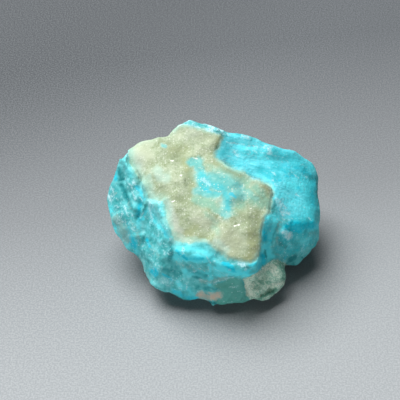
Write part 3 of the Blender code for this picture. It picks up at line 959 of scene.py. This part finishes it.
# Finishes, as linear red, green and blue. Tones are the places and colours of a ramp.
TURQUOISE_SHADED = (0.03, 0.46, 0.53)
# Used partly as painted light
TURQUOISE_BRIGHT_AND_PAINTED_LIGHT = (0.10, 0.74, 0.82)
TURQUOISE_DEEP = (0.002, 0.51, 0.66)
# A dark tone of the stone, also laid on as painted shade
TEAL_DARK_AND_PAINTED_SHADE = (0.02, 0.25, 0.27)
TURQUOISE_TONES = [
    (0.2, TEAL_DARK_AND_PAINTED_SHADE),
    (0.38, (0.065, 0.40, 0.41)),
    (0.55, (0.12, 0.51, 0.53)),
    (0.8, (0.25, 0.65, 0.67)),
]
FACE_TONES = [
    (0.25, (0.06, 0.48, 0.55)),
    (0.42, (0.11, 0.64, 0.73)),
    (0.6, (0.15, 0.71, 0.80)),
    (0.85, (0.32, 0.80, 0.86)),
]
SLATE_GREEN = (0.09, 0.34, 0.285)
SAND_GREY = (0.22, 0.41, 0.38)
PEACH = (0.60, 0.46, 0.35)

CRUST_MIDDLE = (0.38, 0.46, 0.31)
CRUST_CREAM = (0.50, 0.56, 0.41)
CRUST_OLIVE = (0.27, 0.33, 0.19)
CRUST_TONES = [(0.2, CRUST_OLIVE), (0.5, CRUST_MIDDLE), (0.8, CRUST_CREAM)]
CRUST_SHADES = {
    "cream": CRUST_CREAM,
    "blush": (0.48, 0.55, 0.45),
    "green": (0.24, 0.49, 0.37),
    "olive": CRUST_OLIVE,
    "gold": (0.34, 0.39, 0.21),
    "mint": (0.42, 0.58, 0.47),
}
FRINGE_MINT = (0.30, 0.62, 0.54)
# Pale sugar grains, partly painted glints and highlights
SUGAR_AND_PAINTED_HIGHLIGHTS = (0.68, 0.74, 0.62)
# White of the painted glints
PAINTED_GLINT_WHITE = (0.95, 0.97, 0.9)
VEIN_TONES = [(0.25, (0.11, 0.42, 0.40)), (0.5, (0.18, 0.50, 0.46)), (0.7, (0.31, 0.62, 0.56))]
VEIN_BRIGHT = (0.06, 0.52, 0.57)

FROSTING = (0.48, 0.78, 0.82)
LAVENDER = (0.17, 0.48, 0.56)
QUARTZ_TONES = [(0.2, (0.17, 0.36, 0.28)), (0.5, (0.32, 0.52, 0.42)), (0.8, (0.52, 0.66, 0.57))]
# The knob's dark green, also laid on as painted shade
QUARTZ_DARK_AND_PAINTED_SHADE = (0.07, 0.27, 0.20)

# Painted shade on the paper: pale at the front and darker towards the back
PAPER_PAINTED_SHADE_TONES = [
    (0, (0.33, 0.352, 0.365)),
    (0.4, (0.196, 0.208, 0.218)),
    (0.9, (0.092, 0.101, 0.11)),
]
PAPER_GRIT = (0.75, 0.77, 0.78)
PAPER_SHADED = (0.05, 0.055, 0.06)

SHINE = 0.1
STONE_ROUGHNESS = 0.55
CRUST_ROUGHER = 0.25
PAPER_ROUGHNESS = 0.9

# Sizes of the markings, in millimetres
BROAD = 3.0
MIDDLE = 1.5
SPECKLE = 0.55
DUST = 0.24
STREAK = 0.6
GRAIN = 0.4
GRIT = 0.36
BUMP_DEPTH = 0.12
BUMP_STRENGTH = 0.6

# Where the paper changes, in metres behind the stone's middle. The painted shade darkens it towards the
# back and in the back left corner; the near fade is where its grit grows.
PAPER_SHADE_FADE = (-0.05, 0.11)
PAPER_SLANT = 0.2  # how much the fade also runs to the left
CORNER_SHADE_FADE = (0.05, 0.13)
NEAR_FADE = (0.02, -0.05)


class StonePaint(Paint):
    """The stone's material, with the noises and masks that its finishes share."""

    def __init__(self):
        super().__init__("raw_turquoise")
        self.broad = self.mottle(BROAD)
        self.middle = self.mottle(MIDDLE, 1.5)
        self.speckle = self.mottle(SPECKLE, 1)
        self.dust = self.mottle(DUST, 0)
        self.lines = self.streaks(STREAK)
        self.grain = self.cells(GRAIN, "Distance")
        tint = self.cells(GRAIN, "Color")
        self.grain_tone = self.node("ShaderNodeSeparateColor", sockets={"Color": tint}, out="Red")
        self.dot = self.between(self.grain, 0.45, 0.2)
        self.tone = self.swayed(0.52, (self.broad, 0.6), (self.middle, 0.5), (self.speckle, 0.3))
        self.face = self.mask("face")
        # Where the turquoise is made paler, partly as painted light
        self.brightened_and_painted_light = self.edge("bright", self.middle, 0.8, 0.1, 0.9)
        self.covered = self.soft("crust", self.speckle)

    def turquoise(self):
        """Bare turquoise, which runs in lines on the right face, with painted light and painted shade in
        places.
        """
        lined = self.ramp(self.swayed(self.tone * 0.3 + 0.35, (self.lines, 1.1)), FACE_TONES)
        deep = self.edge("deep", self.middle, 0.9, 0.1, 0.8)
        return self.over(
            self.ramp(self.tone, TURQUOISE_TONES),
            (self.face, lined),
            (self.broken("dull", self.lines) * 0.8, TURQUOISE_SHADED),
            # Paler turquoise, partly painted light where the relief is in shade
            (self.brightened_and_painted_light, TURQUOISE_BRIGHT_AND_PAINTED_LIGHT),
            # Dark blue-green, in places painted shade
            (self.soft("teal", self.middle, 0.9), TEAL_DARK_AND_PAINTED_SHADE),
            (deep * (self.speckle - 0.5 + 0.85), TURQUOISE_DEEP),
            (self.soft("slate", self.middle, 1.0) * 0.85, SLATE_GREEN),
            (self.soft("sand", self.speckle, 1.0) * 0.8, SAND_GREY),
        )

    def vein(self):
        """The turquoise that shows through the crust."""
        return self.over(
            self.ramp(self.tone, VEIN_TONES),
            (self.brightened_and_painted_light * 0.8, VEIN_BRIGHT),
            (self.broken("deep", self.middle) * 0.7, TURQUOISE_DEEP),
        )

    def crust(self):
        """The sandy crust, with its vein and its sugar-like grains, whose pale specks are partly painted
        glints.
        """
        tone = self.swayed(0.5, (self.broad, 0.5), (self.middle, 0.5), (self.speckle, 0.4))
        tone = self.swayed(tone, (self.grain_tone, 0.2), (self.dust, 0.6))
        shades = [
            (self.edge(name, self.middle, 0.6, 0.05, 0.95) * 0.85, shade)
            for name, shade in CRUST_SHADES.items()
        ]
        pale = self.between(self.swayed(self.grain_tone, (self.middle, 0.8)), 0.68, 0.92)
        return self.over(
            self.ramp(tone, CRUST_TONES),
            *shades,
            (self.soft("vein", self.middle, 0.4), self.vein()),
            # Pale sugar grains, partly painted glints
            (self.dot * pale * 0.65, SUGAR_AND_PAINTED_HIGHLIGHTS),
        )

    def quartz(self):
        """The grey-green knob, with painted shade down its right side and partly painted highlights on
        its left face, top and shelf.
        """
        tone = self.swayed(0.5, (self.middle, 0.8), (self.speckle, 0.6), (self.dust, 0.7))
        return self.over(
            self.ramp(tone, QUARTZ_TONES),
            # Dark green, and painted shade down the knob's right side
            (self.soft("green", self.middle) * 0.8, QUARTZ_DARK_AND_PAINTED_SHADE),
            # Pale grains, partly painted highlights on the knob's left face, top and shelf
            (self.soft("cream", self.speckle, 1.2) * (self.dust - 0.1), SUGAR_AND_PAINTED_HIGHLIGHTS),
            # Sugar grains, partly painted glints
            (self.dot * self.between(self.grain_tone, 0.5, 0.9) * 0.6, SUGAR_AND_PAINTED_HIGHLIGHTS),
        )

    def frosted(self, colour):
        """A colour under the pale frosting, its bloom and scattered specks, which are partly painted
        glints.
        """
        frost = self.mask("frost")
        bloom = self.mask("bloom")
        lines = self.between(self.swayed(frost, (self.middle, 0.9), (self.dust, 0.7)), 0.35, 1.0)
        patches = self.swayed(bloom * 0.5, (self.middle, 2.0), (self.speckle, 0.8))
        patches = self.between(patches, 0.35, 0.75)
        amount = (lines + patches * bloom * 0.8) * (1 - self.mask("deep") * 0.6)
        whiter = self.between(self.speckle + frost * 0.2, 0.45, 0.65)
        pale = self.swayed(self.grain_tone + bloom * 0.25, (self.broad, 0.8))
        # Pale specks on bare turquoise, partly painted glints
        specks = self.dot * self.between(pale, 0.86, 1.0)
        specks = specks * (1 - self.covered) * (1 - self.face * 0.5)
        return self.over(
            colour,
            (amount * 0.7, self.mix(whiter, LAVENDER, FROSTING)),
            (specks * 0.45, FROSTING),
        )


def stone_paint():
    """Turquoise with its crust, vein, frosting and quartz, by the stone's masks, with painted light,
    shade and glints in places.
    """
    paint = StonePaint()
    plain = paint.over(
        paint.turquoise(),
        (paint.covered, paint.crust()),
        (paint.mask("fringe") * paint.swayed(0.55, (paint.middle, 0.6)), FRINGE_MINT),
        (paint.soft("quartz", paint.speckle), paint.quartz()),
        (paint.edge("peach", paint.speckle, 0.8, 0.1, 1.0) * 0.8, PEACH),
    )
    # Painted glints in white
    sparkle = paint.between(paint.mask("sparkle"), 0.55, 0.95)
    colour = paint.mix(sparkle, paint.frosted(plain), PAINTED_GLINT_WHITE)
    bump = paint.node(
        "ShaderNodeBump",
        sockets={
            "Height": paint.grain * -0.5 + paint.speckle * 0.8 + paint.dust * 0.3,
            "Distance": BUMP_DEPTH * MM,
            "Strength": BUMP_STRENGTH,
        },
        out="Normal",
    )
    paint.connect(bump, paint.shader.inputs["Normal"])
    return paint.finish(colour, STONE_ROUGHNESS + paint.covered * CRUST_ROUGHER)


def floor_paint():
    """Grey paper, with a fine grit, and painted shade that darkens it towards the back and in the back
    left corner.
    """
    paint = Paint("backdrop")
    across, apart = (
        paint.node("ShaderNodeSeparateXYZ", sockets={"Vector": paint.place}, out=axis)
        for axis in "XY"
    )
    # Painted shade, darker towards the back and a little to the left
    shade = paint.ramp(paint.between(apart - across * PAPER_SLANT, *PAPER_SHADE_FADE), PAPER_PAINTED_SHADE_TONES)
    # Painted shade in the back left corner
    corner = paint.between(apart - across, *CORNER_SHADE_FADE) * 0.45
    shade = paint.mix(corner, shade, PAPER_SHADED)
    grit = paint.between(paint.mottle(GRIT, 1), 0.35, 0.7)
    near = paint.between(apart, *NEAR_FADE)
    shade = paint.mix(grit * (0.1 + near * 0.12), shade, PAPER_GRIT)
    return paint.finish(shade, PAPER_ROUGHNESS)


def add_stone():
    """The whole nugget, as one piece."""
    mesh = worked_skin()
    lay_masks(mesh)
    mesh.materials.append(stone_paint())
    for face in mesh.polygons:
        face.use_smooth = True
    return added("stone", mesh)


def add_floor():
    """The flat ground under the stone."""
    mesh = bpy.data.meshes.new("floor")
    ground = bmesh.new()
    bmesh.ops.create_grid(ground, x_segments=1, y_segments=1, size=FLOOR_REACH)
    ground.to_mesh(mesh)
    ground.free()
    mesh.materials.append(floor_paint())
    return added("floor", mesh)


def add_room():
    """A dim, slightly cool light from all around."""
    world = bpy.data.worlds.new("room")
    world.use_nodes = True
    background = world.node_tree.nodes["Background"]
    background.inputs["Color"].default_value = opaque(ROOM_COLOUR)
    background.inputs["Strength"].default_value = ROOM_STRENGTH
    bpy.context.scene.world = world


def add_panel(name, place, size, power):
    """A soft square light that points at the stone."""
    data = bpy.data.lights.new(name, "AREA")
    data.size = size
    data.energy = power
    light = added(name, data)
    light.location = place
    aim(light, Vector(LIGHT_AIM) - Vector(place))


stone = add_stone()
floor = add_floor()
add_room()
for light in LIGHTS:
    add_panel(*light)
add_camera()
bpy.context.scene.view_settings.view_transform = "Standard"

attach(stone, "root")
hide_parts(NODE)
